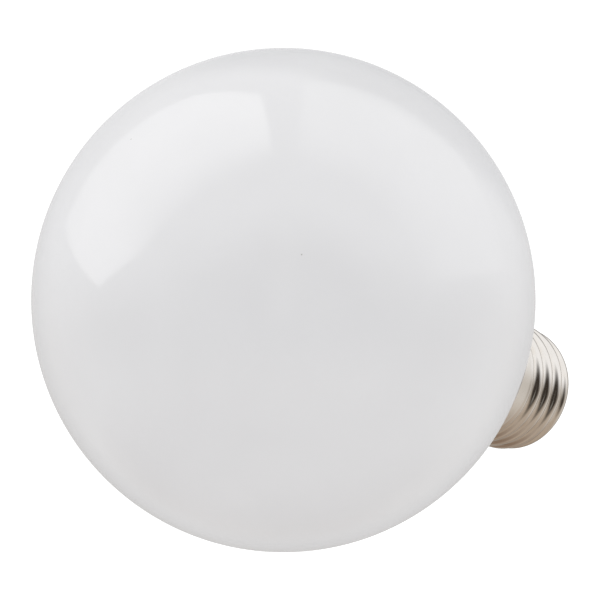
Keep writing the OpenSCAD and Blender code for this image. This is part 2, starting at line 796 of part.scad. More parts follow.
live_route = [[wire_at[1][0], driver_back - 0.6, wire_at[1][1]],
    [wire_at[1][0], driver_front, wire_at[1][1]], [1.9, -1, 10.6], [1.7, 0.1, 9.6],
    [1, 0.3, 8.4], [0.3, 0.1, 7.4], [0, 0, 6.2], [0, 0, 3]];
neutral_route = [[wire_at[0][0], driver_back - 0.6, wire_at[0][1]],
    [wire_at[0][0], driver_front, wire_at[0][1]], [-3.2, -1, 10.4], [-5, -0.4, 9.6], [-7.4, 0, 9.3],
    [-9.6, 0, 9.6], [-11.1, 0, 10.8], [-11.42, 0, 13], [-11.42, 0, 18]];
conductor_r = 0.24;
insulation_r = 0.65;

module wire(route, insulated) {
    route_tube(smooth_route(route, 4), conductor_r, 8);
    route_tube(smooth_route(insulated, 4), insulation_r, 12);
}

module live_wire() {
    color([0.45, 0.2, 0.12]) wire(live_route, [for (i = [2:5]) live_route[i]]);
}

module neutral_wire() {
    color([0.15, 0.35, 0.7]) wire(neutral_route, [for (i = [2:5]) neutral_route[i]]);
}

// ---- screw cap ----

crest_r = thread_d / 2;
root_r = crest_r - thread_depth;
skirt_r = skirt_d / 2;
// Crest and root are arcs of one radius that meet at a tangent
form_r = (pow(thread_pitch / 2, 2) + pow(thread_depth, 2)) / (4 * thread_depth);

// Radius of the thread form at height p from the middle of a crest, within half a pitch
function form(p) = abs(p) < thread_pitch / 4
    ? crest_r - form_r + sqrt(pow(form_r, 2) - pow(p, 2))
    : root_r + form_r - sqrt(pow(form_r, 2) - pow(thread_pitch / 2 - abs(p), 2));

function wrapped(p) = p - thread_pitch * round(p / thread_pitch);
function ease(t) = let (c = min(max(t, 0), 1)) c * c * (3 - 2 * c);

shell_low = 4.9;
lip_r = 10.7;
// The thread rises out of the turned-in end over its first turns, and runs out into the skirt
lead_start = shell_low - 1.5;
lead_len = 6.5;
thread_stop = crest_z + 4 * thread_pitch;
rows_a_turn = 9;
columns = 36;

// Radius of the plain shell under the thread: turned in at the low end, and the root above it
function plain_r(z) = let (t = min((z - shell_low) / 1.4, 1))
    lip_r + (root_r - lip_r) * sqrt(1 - pow(1 - t, 2));

function shell_r(z, a) = let (
    p = wrapped(z - crest_z - thread_pitch * (a + 90) / 360),
    rise = ease((z - lead_start) / lead_len),
    run_out = ease(2 * (z - thread_stop) / thread_pitch + 0.5)
) (plain_r(z) + (form(p) - root_r) * rise) * (1 - run_out) + skirt_r * run_out;

shell_rows = concat(
    [for (i = [0:4]) shell_low + 0.55 * pow(i / 5, 1.6)],
    [for (z = [shell_low + 0.55:thread_pitch / rows_a_turn:thread_stop + thread_pitch / 4]) z],
    [thread_stop + thread_pitch / 4 + 0.4, cap_len - 3, cap_len - 0.5, cap_len]
);

function shell_point(i, a) = let (
    n = len(shell_rows) - 1,
    z = shell_rows[i],
    z0 = shell_rows[max(i - 1, 0)],
    z1 = shell_rows[min(i + 1, n)],
    along = unit([shell_r(z1, a) - shell_r(z0, a), z1 - z0])
) [shell_r(z, a), z, along[0], along[1]];

// The two skins of the shell: i runs up the outside, then down the inside
module screw_shell() {
    n = len(shell_rows);
    outside = [for (i = [0:n - 1], j = [0:columns - 1]) let (a = 360 * j / columns, s = shell_point(i, a))
        [s[0] * cos(a), s[0] * sin(a), s[1]]];
    inside = [for (i = [n - 1:-1:0], j = [0:columns - 1]) let (
        a = 360 * j / columns,
        s = shell_point(i, a),
        r = s[0] - shell_wall * s[3]
    ) [r * cos(a), r * sin(a), s[1] + (i == n - 1 ? 0 : shell_wall * s[2])]];
    rings = 2 * n;
    faces = [for (i = [0:rings - 1], j = [0:columns - 1]) let (
        up = (i + 1) % rings,
        k = (j + 1) % columns
    ) each [[i * columns + j, up * columns + j, i * columns + k],
        [i * columns + k, up * columns + j, up * columns + k]]];
    color([0.78, 0.77, 0.74]) polyhedron(concat(outside, inside), faces);
}

module cap_insulator() {
    shoulder_r = root_r - shell_wall - 0.5;
    color([0.08, 0.08, 0.09]) rotate_extrude($fn = round_fn) difference() {
        polygon([[1.6, 1.5], [contact_d / 2 + 0.7, 1.5], [contact_d / 2 + 1, 1.8],
            [contact_d / 2 + 1.3, 2.6], [9.2, 4], [lip_r - 0.4, 4.6], [lip_r - 0.4, 5.75],
            [shoulder_r, 5.95], [shoulder_r, 7.2],
            [shoulder_r - 1.2, 7.2], [shoulder_r - 1.4, 5.9], [7, 4.1], [3.2, 4.1], [3, 6], [1.6, 6]]);
        // Moulded step in the cone
        translate([8.1, 3.05]) circle(r = 0.45, $fn = small_fn);
    }
}

// Rivet: a flat head with a round edge, and a hollow shank that holds the live conductor
module centre_contact() {
    edge = 0.7;
    color([0.74, 0.73, 0.7]) rotate_extrude($fn = round_fn) difference() {
        union() {
            square([contact_d / 2 - edge, 1.45]);
            translate([0, edge]) square([contact_d / 2, 1.45 - edge]);
            translate([contact_d / 2 - edge, edge]) circle(r = edge, $fn = small_fn);
            square([1.5, 6.4]);
        }
        translate([0, 2.4]) square([conductor_r + 0.06, 5]);
    }
}

globe_diffuser();
globe_adhesive();
housing();
heat_sink_cup();
insulating_sleeve();
thermal_pad();
led_board();
warm_white_leds();
cool_white_leds();
rgb_leds();
led_board_screws();
connector_body();
connector_pins();
radio_board();
radio_pins();
radio_chip();
radio_shield();
radio_antenna();
driver_board();
solder_joints();
bulk_capacitor();
output_capacitor();
line_capacitor();
safety_capacitor();
surge_varistor();
fusible_resistor();
choke_core();
choke_winding();
transformer_core();
transformer_bobbin();
transformer_winding();
transformer_tape();
transformer_pins();
bridge_rectifier();
controller_chip();
dimming_chip();
voltage_regulator();
output_diode();
chip_resistors();
chip_capacitors();
live_wire();
neutral_wire();
screw_shell();
cap_insulator();
centre_contact();
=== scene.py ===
"""Globe lamp with a screw cap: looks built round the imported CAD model. Metres, lamp's axis on Z, globe up."""
import math
import bpy
from mathutils import Matrix, Vector


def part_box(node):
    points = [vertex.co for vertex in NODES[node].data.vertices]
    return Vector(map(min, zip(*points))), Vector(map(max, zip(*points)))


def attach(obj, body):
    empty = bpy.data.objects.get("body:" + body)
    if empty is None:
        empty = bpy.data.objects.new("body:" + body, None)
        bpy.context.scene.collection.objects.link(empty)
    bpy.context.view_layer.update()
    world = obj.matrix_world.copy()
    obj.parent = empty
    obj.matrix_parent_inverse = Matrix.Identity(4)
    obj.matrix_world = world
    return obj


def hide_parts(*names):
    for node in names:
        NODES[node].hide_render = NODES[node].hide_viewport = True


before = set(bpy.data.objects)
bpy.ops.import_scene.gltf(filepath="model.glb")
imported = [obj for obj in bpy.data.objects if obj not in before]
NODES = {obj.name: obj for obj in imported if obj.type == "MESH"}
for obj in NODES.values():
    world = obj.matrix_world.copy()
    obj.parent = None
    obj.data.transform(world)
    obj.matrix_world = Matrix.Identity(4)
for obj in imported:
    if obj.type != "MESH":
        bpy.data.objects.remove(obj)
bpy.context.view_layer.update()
MM = 0.001

# ---- driving sizes ----

globe_low, globe_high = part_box("globe_diffuser")
shell_low, shell_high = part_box("screw_shell")
contact_low, contact_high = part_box("centre_contact")
housing_low, housing_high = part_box("housing")
GLOBE_R = (globe_high.x - globe_low.x) / 2
GLOBE_Z = globe_high.z - GLOBE_R
MOUTH_Z = globe_low.z
RIM_Z = shell_high.z
GLOBE_C = Vector((0, 0, GLOBE_Z))

# ---- camera at the photograph's viewing angle ----

VIEW_TO_AXIS = math.radians(38.3)
AXIS_DROP = math.radians(21.0)
CAMERA_DISTANCE = 0.65
AIM_ASIDE = math.radians(0.275)
SENSOR = 36.0
LENS = 206.7
CLIP_END = 20


def view_frame():
    """Columns: image right, image up and backwards, in the lamp's frame."""
    s, c = math.sin(VIEW_TO_AXIS), math.cos(VIEW_TO_AXIS)
    level = Vector((1, 0, 0))
    upright = Vector((0, c, s))
    back = Vector((0, -s, c))
    right = level * math.sin(AXIS_DROP) - upright * math.cos(AXIS_DROP)
    up = level * math.cos(AXIS_DROP) + upright * math.sin(AXIS_DROP)
    return Matrix((right, up, back)).transposed()


VIEW = view_frame()


def from_view(p):
    """A point given as right, up and backwards from the globe's centre."""
    return GLOBE_C + VIEW @ Vector(p)


def make_camera():
    data = bpy.data.cameras.new("camera")
    data.sensor_width = SENSOR
    data.lens = LENS
    data.clip_end = CLIP_END
    camera = bpy.data.objects.new("camera", data)
    aim = Matrix.Rotation(-AIM_ASIDE, 4, "Y")
    camera.matrix_world = Matrix.Translation(from_view((0, 0, CAMERA_DISTANCE))) @ VIEW.to_4x4() @ aim
    bpy.context.scene.collection.objects.link(camera)
    bpy.context.scene.camera = camera


make_camera()

# ---- node trees ----


class Tree:
    """Short calls that build one node tree."""

    def __init__(self, tree, output):
        self.tree = tree
        tree.nodes.clear()
        self.output = tree.nodes.new(output)

    def add(self, kind, inputs=None, **settings):
        node = self.tree.nodes.new("ShaderNode" + kind)
        for key, value in settings.items():
            setattr(node, key, value)
        for key, value in (inputs or {}).items():
            self.put(node.inputs[key], value)
        return node

    def put(self, socket, value):
        if isinstance(value, bpy.types.NodeSocket):
            self.tree.links.new(value, socket)
        elif socket.type == "RGBA" and len(value) == 3:
            socket.default_value = (*value, 1)
        else:
            socket.default_value = value

    def math(self, operation, a, b=0.0, c=0.0):
        node = self.add("Math", operation=operation)
        for socket, value in zip(node.inputs, (a, b, c)):
            self.put(socket, value)
        return node.outputs[0]

    def ramp(self, value, low, high, to_low=0.0, to_high=1.0, smooth=False):
        node = self.add("MapRange", {"Value": value, "From Min": low, "From Max": high,
                                     "To Min": to_low, "To Max": to_high})
        node.interpolation_type = "SMOOTHSTEP" if smooth else "LINEAR"
        return node.outputs["Result"]

    def mix(self, factor, a, b):
        node = self.add("Mix", data_type="RGBA")
        self.put(node.inputs["Factor"], factor)
        self.put(node.inputs[6], a)
        self.put(node.inputs[7], b)
        return node.outputs[2]

    def place(self, stretch=(1, 1, 1)):
        """Object coordinates in millimetres, squeezed per axis."""
        coord = self.add("TexCoord").outputs["Object"]
        return self.add("Mapping", {"Vector": coord, "Scale": tuple(k / MM for k in stretch)}).outputs[0]

    def noise(self, scale, stretch=(1, 1, 1), detail=3.0, roughness=0.5):
        return self.add("TexNoise", {"Vector": self.place(stretch), "Scale": scale, "Detail": detail,
                                     "Roughness": roughness}).outputs["Fac"]

    def off_axis(self):
        """Distance from the lamp's axis in millimetres."""
        x, y = self.add("SeparateXYZ", {"Vector": self.place()}).outputs[:2]
        squares = self.math("ADD", self.math("MULTIPLY", x, x), self.math("MULTIPLY", y, y))
        return self.math("SQRT", squares)

    def bump(self, height, depth_mm, strength=1.0, normal=None):
        inputs = {"Height": height, "Distance": depth_mm * MM, "Strength": strength}
        if normal is not None:
            inputs["Normal"] = normal
        return self.add("Bump", inputs).outputs[0]

    def surface(self, base, roughness, normal, **constants):
        """Principled surface; constants are set on its own sockets, with _ for each space in a name."""
        shader = self.add("BsdfPrincipled", {"Base Color": base, "Roughness": roughness, "Normal": normal})
        for key, value in constants.items():
            self.put(shader.inputs[key.replace("_", " ")], value)
        self.tree.links.new(shader.outputs[0], self.output.inputs[0])


def new_material(name):
    material = bpy.data.materials.new("look_" + name)
    material.use_nodes = True
    return material, Tree(material.node_tree, "ShaderNodeOutputMaterial")


def shaded(colour, factor):
    return tuple(min(1.0, c * factor) for c in colour)


# ---- visible materials ----

OPAL = (0.80, 0.798, 0.811)
NICKEL = (0.735, 0.705, 0.67)
# Darker, warmer copy of the nickel: painted shade for the roots of the thread
ROOT_SHADE_NICKEL = (0.66, 0.605, 0.535)
NICKEL_EDGE = (0.52, 0.49, 0.46)
HOUSING_WHITE = (0.80, 0.80, 0.79)
INSULATOR_BLACK = (0.016, 0.016, 0.018)
INSULATOR_SCUFF = (0.045, 0.044, 0.043)
# Roughness of the smoothest and the roughest spots
OPAL_ROUGH = (0.075, 0.11)
NICKEL_ROUGH = (0.05, 0.10)
HOUSING_ROUGH = (0.34, 0.46)
INSULATOR_ROUGH = (0.2, 0.4)
# Where a noise texture starts and stops to tell: nearly all its values, or only the middle ones
WIDE = (0.3, 0.7)
MIDDLE = (0.35, 0.65)
# Dust specks: cells per millimetre, how far a speck fades out in its cell, how rare a cell with a speck is
SPECK_CELLS = 0.11
SPECK_EDGE = (0.020, 0.008)
SPECK_RARITY = 0.72
SPECK_GREY = (0.42, 0.41, 0.40)
# Light scattered under the opal's skin: how much of it, and how far it travels
OPAL_SOFTNESS = 0.18
OPAL_DEPTH = 2.5 * MM


def opal_diffuser():
    """Glossy opal plastic: faint clouding, a few dust specks under the skin, slow waves in the gloss."""
    material, t = new_material("opal_diffuser")
    cloud = t.noise(0.05, detail=2.0)
    fine = t.noise(0.9, detail=4.0)
    tone = t.mix(t.ramp(cloud, *MIDDLE), shaded(OPAL, 0.985), shaded(OPAL, 1.012))
    tone = t.mix(t.ramp(fine, *WIDE, 0.0, 0.35), tone, shaded(OPAL, 0.99))
    cells = t.add("TexVoronoi", {"Vector": t.place(), "Scale": SPECK_CELLS, "Randomness": 1.0})
    near = t.ramp(cells.outputs["Distance"], *SPECK_EDGE, smooth=True)
    draw = t.add("SeparateColor", {"Color": cells.outputs["Color"]}).outputs[0]
    chosen = t.math("GREATER_THAN", draw, SPECK_RARITY)
    base = t.mix(t.math("MULTIPLY", near, chosen), tone, SPECK_GREY)
    roughness = t.ramp(t.noise(0.12), *WIDE, *OPAL_ROUGH)
    waves = t.bump(t.noise(0.07, detail=1.0), 0.12, 0.35)
    normal = t.bump(t.noise(1.4, detail=2.0), 0.004, 0.5, waves)
    t.surface(base, roughness, normal, IOR=1.52, Subsurface_Weight=OPAL_SOFTNESS,
              Subsurface_Radius=(1.0, 1.0, 1.0), Subsurface_Scale=OPAL_DEPTH)
    return material


# Radii in millimetres between which the painted shade in the roots of the thread fades out, and how strong it
# is
ROOT_SHADE_RADII = (12.1, 13.0)
ROOT_SHADE_STRENGTH = 0.7
ROOT_DULLNESS = 0.08


def nickel_plate():
    """Bright nickel on rolled brass: fine marks round the thread, painted shade in the roots (darker and
    warmer), and duller there.
    """
    material, t = new_material("nickel_plate")
    # Painted shade: the roots of the thread darker and warmer, in patches
    root = t.ramp(t.off_axis(), *ROOT_SHADE_RADII, 1.0, 0.0, True)
    root_shade = t.math("MULTIPLY", root, t.ramp(t.noise(0.5, detail=4.0), 0.35, 0.75))
    tone = t.mix(t.ramp(t.noise(0.35), *WIDE), shaded(NICKEL, 0.975), shaded(NICKEL, 1.02))
    base = t.mix(t.math("MULTIPLY", root_shade, ROOT_SHADE_STRENGTH), tone, ROOT_SHADE_NICKEL)
    rolled = t.noise(1.0, stretch=(0.10, 0.10, 5.0), detail=3.0, roughness=0.6)
    fine = t.noise(2.5, detail=3.0)
    mottled = t.ramp(fine, *WIDE, 0.0, 0.03)
    dull = t.math("MULTIPLY_ADD", root_shade, ROOT_DULLNESS, mottled)
    roughness = t.math("ADD", t.ramp(rolled, *WIDE, *NICKEL_ROUGH), dull)
    normal = t.bump(rolled, 0.012, 0.5, t.bump(t.noise(0.45, detail=2.0), 0.04, 0.3))
    t.surface(base, roughness, normal, Metallic=1.0, Specular_Tint=NICKEL_EDGE)
    return material


def white_housing():
    """Satin moulded plastic with a fine spark-eroded grain."""
    material, t = new_material("white_housing")
    cloud = t.noise(0.08, detail=2.0)
    base = t.mix(t.ramp(cloud, *MIDDLE), shaded(HOUSING_WHITE, 0.975), shaded(HOUSING_WHITE, 1.01))
    grain = t.noise(4.5, detail=3.0, roughness=0.6)
    roughness = t.ramp(grain, *WIDE, *HOUSING_ROUGH)
    flow = t.noise(0.15, stretch=(1, 1, 0.25), detail=2.0)
    normal = t.bump(grain, 0.02, 0.5, t.bump(flow, 0.05, 0.25))
    t.surface(base, roughness, normal, IOR=1.5)
    return material


def black_insulator():
    """Black moulded insulator: semi-gloss, faint flow lines and scuffs."""
    material, t = new_material("black_insulator")
    scuff = t.noise(0.8, detail=5.0, roughness=0.65)
    base = t.mix(t.ramp(scuff, 0.45, 0.8), INSULATOR_BLACK, INSULATOR_SCUFF)
    roughness = t.ramp(scuff, 0.35, 0.75, *INSULATOR_ROUGH)
    normal = t.bump(t.noise(3.0, detail=3.0), 0.015, 0.5, t.bump(t.noise(0.2), 0.06, 0.3))
    t.surface(base, roughness, normal, IOR=1.55)
    return material


# ---- materials of the inner pieces ----


def finish(name, colour, roughness, vary=0.06, cloud=0.3, grain=3.0, depth=0.01, stretch=(1, 1, 1),
           **constants):
    """Colour that clouds a little, roughness and bump from a grain at its own scale."""
    material, t = new_material(name)
    base = t.mix(t.ramp(t.noise(cloud), *WIDE), shaded(colour, 1 - vary), shaded(colour, 1 + vary))
    texture = t.noise(grain, stretch=stretch, detail=4.0, roughness=0.6)
    rough = t.ramp(texture, *WIDE, roughness * 0.85, roughness * 1.15)
    t.surface(base, rough, t.bump(texture, depth, 0.5), **constants)
    return material


WEAVE_SCALE = 1.6
TRACK_SCALE = 0.34
TRACK_EDGE = (0.42, 0.46)
LED_FRAME = (0.85, 0.85, 0.83)
LED_WINDOW_EDGE = (0.6, 0.8)


def board(name, mask_colour, glass_colour, track_colour):
    """Circuit board: solder mask over tracks, with the glass weave of the laminate showing through."""
    material, t = new_material(name)
    place = t.place()
    across, along = (t.add("TexWave", {"Vector": place, "Scale": WEAVE_SCALE, "Distortion": 0.6},
                           bands_direction=axis).outputs["Fac"] for axis in "XZ")
    weave = t.math("MULTIPLY", across, along)
    tracks = t.add("TexVoronoi", {"Vector": place, "Scale": TRACK_SCALE}, distance="MANHATTAN", feature="F1")
    copper = t.ramp(tracks.outputs["Distance"], *TRACK_EDGE)
    base = t.mix(copper, mask_colour, track_colour)
    base = t.mix(t.ramp(weave, 0.5, 1.0, 0.0, 0.25), base, glass_colour)
    roughness = t.ramp(weave, 0.0, 1.0, 0.3, 0.42)
    normal = t.bump(copper, 0.03, 0.6, t.bump(weave, 0.008, 0.4))
    t.surface(base, roughness, normal, IOR=1.5)
    return material


def phosphor(name, colour):
    """LED package: white frame with a window of phosphor silicone on top."""
    material, t = new_material(name)
    up = t.add("SeparateXYZ", {"Vector": t.add("NewGeometry").outputs["Normal"]}).outputs[2]
    grains = t.noise(9.0, detail=2.0)
    glow = t.mix(t.ramp(grains, *WIDE), shaded(colour, 0.9), shaded(colour, 1.05))
    base = t.mix(t.ramp(up, *LED_WINDOW_EDGE), LED_FRAME, glow)
    t.surface(base, t.ramp(grains, *WIDE, 0.3, 0.5), t.bump(grains, 0.01, 0.5), IOR=1.45)
    return material


def wound(name, colour, pitch, **constants):
    """Enamelled wire or tape: turns side by side, each a little different, with painted shade in the creases
    between them.
    """
    material, t = new_material(name)
    turns = t.add("TexWave", {"Vector": t.place(), "Scale": 1 / (2 * pitch), "Distortion": 0.15},
                  bands_direction="Z", wave_profile="SIN").outputs["Fac"]
    base = t.mix(t.ramp(t.noise(0.6), *WIDE), shaded(colour, 0.85), shaded(colour, 1.12))
    # Painted shade in the creases between the turns
    base = t.mix(t.ramp(turns, 0.0, 0.3, 0.5, 0.0), base, shaded(colour, 0.4))
    t.surface(base, t.ramp(turns, 0.0, 1.0, 0.4, 0.25), t.bump(turns, 0.08, 0.6), **constants)
    return material


def make_materials():
    metal = {"Metallic": 1.0}
    looks = [opal_diffuser(), nickel_plate(), white_housing(), black_insulator()]
    looks += [
        finish("white_silicone", (0.8, 0.8, 0.79), 0.5, cloud=0.5, grain=1.0, depth=0.05),
        finish("bare_aluminium", (0.78, 0.79, 0.8), 0.32, stretch=(0.2, 0.2, 3), depth=0.02, **metal),
        finish("dark_liner", (0.06, 0.06, 0.065), 0.55, grain=2.0),
        finish("thermal_pad", (0.5, 0.56, 0.6), 0.7, grain=5.0, depth=0.02),
        finish("zinc_steel", (0.7, 0.7, 0.72), 0.3, grain=4.0, **metal),
        finish("ivory_plastic", (0.84, 0.81, 0.72), 0.42, grain=4.0),
        finish("gilt_pins", (0.86, 0.68, 0.34), 0.22, grain=5.0, **metal),
        finish("tinned_steel", (0.74, 0.75, 0.76), 0.28, stretch=(0.3, 3, 3), **metal),
        finish("black_epoxy", (0.035, 0.035, 0.038), 0.5, vary=0.15, grain=7.0),
        finish("copper_track", (0.78, 0.46, 0.3), 0.3, grain=4.0, **metal),
        finish("solder", (0.74, 0.75, 0.77), 0.24, cloud=1.2, grain=2.0, depth=0.03, **metal),
        finish("black_can_sleeve", (0.035, 0.04, 0.055), 0.3, grain=0.8, depth=0.03),
        finish("blue_can_sleeve", (0.03, 0.08, 0.24), 0.3, grain=0.8, depth=0.03),
        finish("yellow_box", (0.75, 0.56, 0.07), 0.35, grain=5.0),
        finish("blue_dip", (0.04, 0.18, 0.46), 0.22, cloud=0.6, grain=0.6, depth=0.08),
        finish("green_dip", (0.12, 0.3, 0.22), 0.35, cloud=0.6, grain=0.9, depth=0.06),
        finish("ferrite", (0.055, 0.055, 0.058), 0.45, vary=0.2, grain=6.0, depth=0.02),
        finish("chip_black", (0.045, 0.045, 0.05), 0.3, grain=5.0),
        finish("chip_tan", (0.5, 0.36, 0.24), 0.4, grain=5.0),
        finish("brown_wire", (0.2, 0.08, 0.04), 0.42, grain=2.0),
        finish("blue_wire", (0.03, 0.12, 0.4), 0.42, grain=2.0),
        board("white_board", (0.86, 0.86, 0.83), (0.78, 0.77, 0.7), (0.9, 0.9, 0.88)),
        board("green_board", (0.03, 0.16, 0.06), (0.12, 0.26, 0.1), (0.06, 0.27, 0.11)),
        board("blue_board", (0.02, 0.05, 0.17), (0.05, 0.1, 0.24), (0.04, 0.09, 0.28)),
        phosphor("warm_phosphor", (0.92, 0.66, 0.16)),
        phosphor("cool_phosphor", (0.9, 0.82, 0.3)),
        phosphor("clear_package", (0.55, 0.57, 0.6)),
        wound("enamelled_wire", (0.55, 0.2, 0.08), 0.36, Coat_Weight=0.6),
        wound("yellow_tape", (0.85, 0.62, 0.06), 3.0, Coat_Weight=0.3),
    ]
    return {m.name.removeprefix("look_"): m for m in looks}


# ---- mesh helpers ----


def add_piece(name, mesh, node, slot, materials):
    """A piece that stands for a CAD node, with that node's finish."""
    piece = bpy.data.objects.new(name, mesh)
    bpy.context.scene.collection.objects.link(piece)
    piece.data.materials.append(materials[slot])
    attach(piece, "root")
    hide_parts(node)
    return piece


CRISP_EDGE = math.radians(40)
ON_AXIS = 1e-7


def finish_mesh(name, points, faces, crisp=CRISP_EDGE):
    """Smooth-shaded mesh; edges sharper than the angle stay crisp."""
    mesh = bpy.data.meshes.new(name)
    mesh.from_pydata(points, [], faces)
    mesh.update()
    mesh.polygons.foreach_set("use_smooth", [True] * len(mesh.polygons))
    mesh.set_sharp_from_angle(angle=crisp)
    return mesh


def eased(profile, steps=4):
    """Closed profile of (r, z, ease radius) with its corners rounded."""
    out = []
    count = len(profile)
    for i, (r, z, ease) in enumerate(profile):
        here = Vector((r, z))
        before = Vector(profile[i - 1][:2]) - here
        after = Vector(profile[(i + 1) % count][:2]) - here
        cut = min(ease, before.length * 0.45, after.length * 0.45)
        if cut <= 0:
            out.append((r, z))
            continue
        a, b = here + before.normalized() * cut, here + after.normalized() * cut
        for k in range(steps + 1):
            t = k / steps
            p = a * (1 - t) ** 2 + here * 2 * t * (1 - t) + b * t ** 2
            out.append((p.x, p.y))
    return out


def lathe(name, profile, segments, closed=True):
    """Turns a profile of (r, z) in metres about the lamp's axis; points on the axis are shared."""
    points, rows = [], []
    for r, z in profile:
        if r < ON_AXIS:
            rows.append([len(points)] * segments)
            points.append((0, 0, z))
        else:
            rows.append(list(range(len(points), len(points) + segments)))
            points += [around(r, j / segments, z) for j in range(segments)]
    faces = []
    pairs = list(zip(rows, rows[1:])) + ([(rows[-1], rows[0])] if closed else [])
    for low, high in pairs:
        for j in range(segments):
            k = (j + 1) % segments
            ring = list(dict.fromkeys((low[j], low[k], high[k], high[j])))
            if len(ring) > 2:
                faces.append(ring)
    return finish_mesh(name, points, faces)


def arc(centre, radius, start, stop, steps):
    """Points (r, z) along an arc; angles in radians."""
    angles = [start + (stop - start) * k / steps for k in range(steps + 1)]
    return [(centre[0] + radius * math.cos(a), centre[1] + radius * math.sin(a)) for a in angles]


def around(r, turn, z):
    """Point at a radius and height; turn is the angle from +X in turns."""
    angle = 2 * math.pi * turn
    return r * math.cos(angle), r * math.sin(angle), z


# ---- globe ----

GLOBE_WALL = 1.2 * MM
MOUTH_R = math.sqrt(GLOBE_R ** 2 - (GLOBE_Z - MOUTH_Z) ** 2)
RIM_EASE = 0.25 * MM
RIM_CUT_OUT, RIM_CUT_IN = 1.2 * RIM_EASE, 0.6 * RIM_EASE
GLOBE_SEGMENTS = 256
OUTSIDE_STEPS = 150
INSIDE_STEPS = 110


def globe_mesh():
    """Hollow globe, from the top down the inside, round the eased rim of the mouth and up the outside."""
    inner_r = GLOBE_R - GLOBE_WALL
    outer = math.asin((MOUTH_Z + RIM_EASE - GLOBE_Z) / GLOBE_R)
    inner = math.asin((MOUTH_Z + RIM_EASE - GLOBE_Z) / inner_r)
    outside = arc((0, GLOBE_Z), GLOBE_R, outer, math.pi / 2, OUTSIDE_STEPS)
    inside = arc((0, GLOBE_Z), inner_r, math.pi / 2, inner, INSIDE_STEPS)
    outside[-1] = (0, GLOBE_Z + GLOBE_R)
    inside[0] = (0, GLOBE_Z + inner_r)
    rim_out = (outside[0][0] - RIM_CUT_OUT, MOUTH_Z)
    rim_in = (inside[-1][0] + RIM_CUT_IN, MOUTH_Z)
    return lathe("globe", inside + [rim_in, rim_out] + outside, GLOBE_SEGMENTS, closed=False)


# ---- housing ----

NECK_R = 13.9 * MM
NECK_CURVE_R = 66 * MM
HOUSING_WALL = 1.6 * MM
COLLAR_R = MOUTH_R - 2.4 * MM
BORE_R = 26.1 * MM
LEDGE_Z = RIM_Z + 3 * MM
SPIGOT_R = 11.7 * MM
SPIGOT_BORE_R = SPIGOT_R - 1.3 * MM
SEAT_R = 12.6 * MM
SEAT_Z = RIM_Z - 5.2 * MM
SEAT_BEVEL = 0.8 * MM
BORE_Z = MOUTH_Z - 4 * MM
SEAM_STEP = 0.4 * MM
SEAM_IN = 0.12 * MM
SIDE_LOW, SIDE_HIGH = RIM_Z + 0.5 * MM, MOUTH_Z - 0.7 * MM
HOLLOW_LOW = LEDGE_Z + 0.4 * MM
HOUSING_EASE = 0.25 * MM
HOUSING_SEGMENTS = 224
SIDE_STEPS = 40
HOLLOW_STEPS = 24


def neck_arc(inset, low, high, steps):
    """The concave side, from low to high, moved inwards by inset."""
    chord = Vector((MOUTH_R - NECK_R, MOUTH_Z - RIM_Z))
    reach = math.sqrt(NECK_CURVE_R ** 2 - (chord.length / 2) ** 2)
    centre = Vector((NECK_R, RIM_Z)) + chord / 2 + Vector((chord.y, -chord.x)).normalized() * reach
    radius = NECK_CURVE_R + inset
    heights = [low + (high - low) * k / steps for k in range(steps + 1)]
    return [(centre.x - math.sqrt(radius ** 2 - (z - centre.y) ** 2), z) for z in heights]


def housing_mesh():
    """Neck with its concave side, the collar in the globe's mouth, and the spigot inside the cap."""
    ease, top, foot = HOUSING_EASE, housing_high.z, housing_low.z
    side = neck_arc(0, SIDE_LOW, SIDE_HIGH, SIDE_STEPS)
    hollow = neck_arc(HOUSING_WALL, BORE_Z, HOLLOW_LOW, HOLLOW_STEPS)
    profile = [(NECK_R, RIM_Z, ease)]
    profile += [(r, z, 0) for r, z in side]
    profile += [
        (MOUTH_R - SEAM_IN, MOUTH_Z - SEAM_STEP, ease), (MOUTH_R - SEAM_STEP, MOUTH_Z, ease),
        (COLLAR_R, MOUTH_Z, ease), (COLLAR_R, top, ease), (BORE_R, top, ease), (BORE_R, BORE_Z, 0)]
    profile += [(r, z, 0) for r, z in hollow if r < BORE_R]
    profile += [
        (SPIGOT_BORE_R, LEDGE_Z, 0), (SPIGOT_BORE_R, foot, ease), (SPIGOT_R, foot, ease),
        (SPIGOT_R, SEAT_Z - SEAT_BEVEL, 0), (SEAT_R, SEAT_Z, 0), (SEAT_R, RIM_Z, 0)]
    return lathe("housing_shell", eased(profile), HOUSING_SEGMENTS)


# ---- screw cap ----

THREAD_PITCH = 3.629 * MM
CREST_R = 13.125 * MM
THREAD_DEPTH = 1.0 * MM
SKIRT_R = 12.95 * MM
SHELL_WALL = 0.3 * MM
CREST_Z = 6.4 * MM
LIP_R = 10.7 * MM
LIP_CURVE = 1.4 * MM
LEAD_START = shell_low.z - 1.5 * MM
LEAD_LEN = 6.5 * MM
THREAD_STOP = CREST_Z + 4 * THREAD_PITCH
DENT_COUNT = 12
DENT_Z = RIM_Z - 2.1 * MM
DENT_R = 1.0 * MM
DENT_DEPTH = 0.32 * MM
ROOT_R = CREST_R - THREAD_DEPTH
# Radius of the two equal arcs that make the rolled thread's rounded form
FORM_R = ((THREAD_PITCH / 2) ** 2 + THREAD_DEPTH ** 2) / (4 * THREAD_DEPTH)
SHELL_COLUMNS = 216
SHELL_CRISP = math.radians(60)
LIP_ROWS = 8
LIP_TOP = 0.4 * LIP_CURVE
ROW_STEP = 0.13 * MM
DENT_ROWS = 6
RIM_ROWS = (0.5 * MM, 0.12 * MM, 0.02 * MM)
RIM_TURN = 0.06 * MM


def smooth_step(t):
    t = min(max(t, 0.0), 1.0)
    return t * t * (3 - 2 * t)


